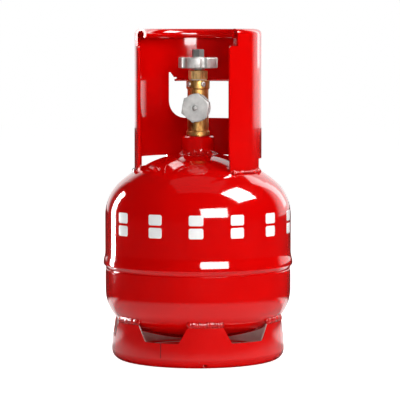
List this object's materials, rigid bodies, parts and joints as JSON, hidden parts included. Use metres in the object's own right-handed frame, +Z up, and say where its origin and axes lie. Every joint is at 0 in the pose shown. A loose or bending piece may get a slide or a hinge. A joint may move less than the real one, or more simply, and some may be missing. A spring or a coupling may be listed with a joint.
{
  "type": "propane tank",
  "caption": "Small refillable steel gas cylinder with a welded base ring, a rolled guard collar with a hand hole, and a brass valve with handwheel and plugged side outlet.",
  "frame": {"origin": "on the cylinder's axis, on the ground plane that the base ring stands on", "axes": "+Z up along the cylinder's axis, -Y the way the valve outlet faces"},
  "size_m": [0.2068, 0.2068, 0.3605],
  "materials": {
    "red_paint": "gloss enamel over steel",
    "brass": "forged, dull golden, light patina",
    "zinc": "dull zinc-plated steel",
    "cast_aluminium": "bright die cast",
    "steel": "bright turned steel",
    "sealant": "white sealing compound",
    "nylon": "natural nylon",
    "rubber": "black nitrile rubber",
    "white_paint": "white stencil paint"
  },
  "bodies": {
    "tank": {"upper_shell": "red_paint", "lower_shell": "red_paint", "girth_weld": "red_paint", "neck_boss": "red_paint", "neck_weld": "red_paint", "guard_collar": "red_paint", "guard_welds": "red_paint", "base_ring": "red_paint", "base_seam_weld": "red_paint", "base_tab_welds": "red_paint", "valve_body": "brass", "thread_sealant": "sealant", "bonnet": "brass", "bonnet_gasket": "nylon", "bonnet_lock_pins": "steel"},
    "wheel": {"spindle": "brass", "handwheel": "cast_aluminium", "handwheel_washer": "zinc", "handwheel_nut": "zinc", "stem_seal": "rubber"},
    "disc": {"valve_disc": "brass", "disc_seat": "nylon"},
    "plug_thread": {"outlet_gasket": "rubber"},
    "plug": {"outlet_plug": "zinc"}
  },
  "joints": [
    {"name": "handwheel_turn", "type": "hinge", "parent": "tank", "child": "wheel", "pos_m": [0, 0, 0.323], "axis": [0, 0, 1], "range_deg": [0, 720]},
    {"name": "disc_lift", "type": "slide", "parent": "wheel", "child": "disc", "axis": [0, 0, 1], "range_m": [0, 0.003]},
    {"name": "plug_travel", "type": "slide", "parent": "tank", "child": "plug_thread", "axis": [0, -1, 0], "range_m": [0, 0.0091]},
    {"name": "plug_turn", "type": "hinge", "parent": "plug_thread", "child": "plug", "pos_m": [0, -0.022, 0.275], "axis": [0, -1, 0], "range_deg": [-1800, 0]}
  ],
  "couplings": [
    {"joint": "disc_lift", "follows": "handwheel_turn", "m_per_rad": 0.00023871},
    {"joint": "plug_travel", "follows": "plug_turn", "m_per_rad": -0.00028871}
  ]
}
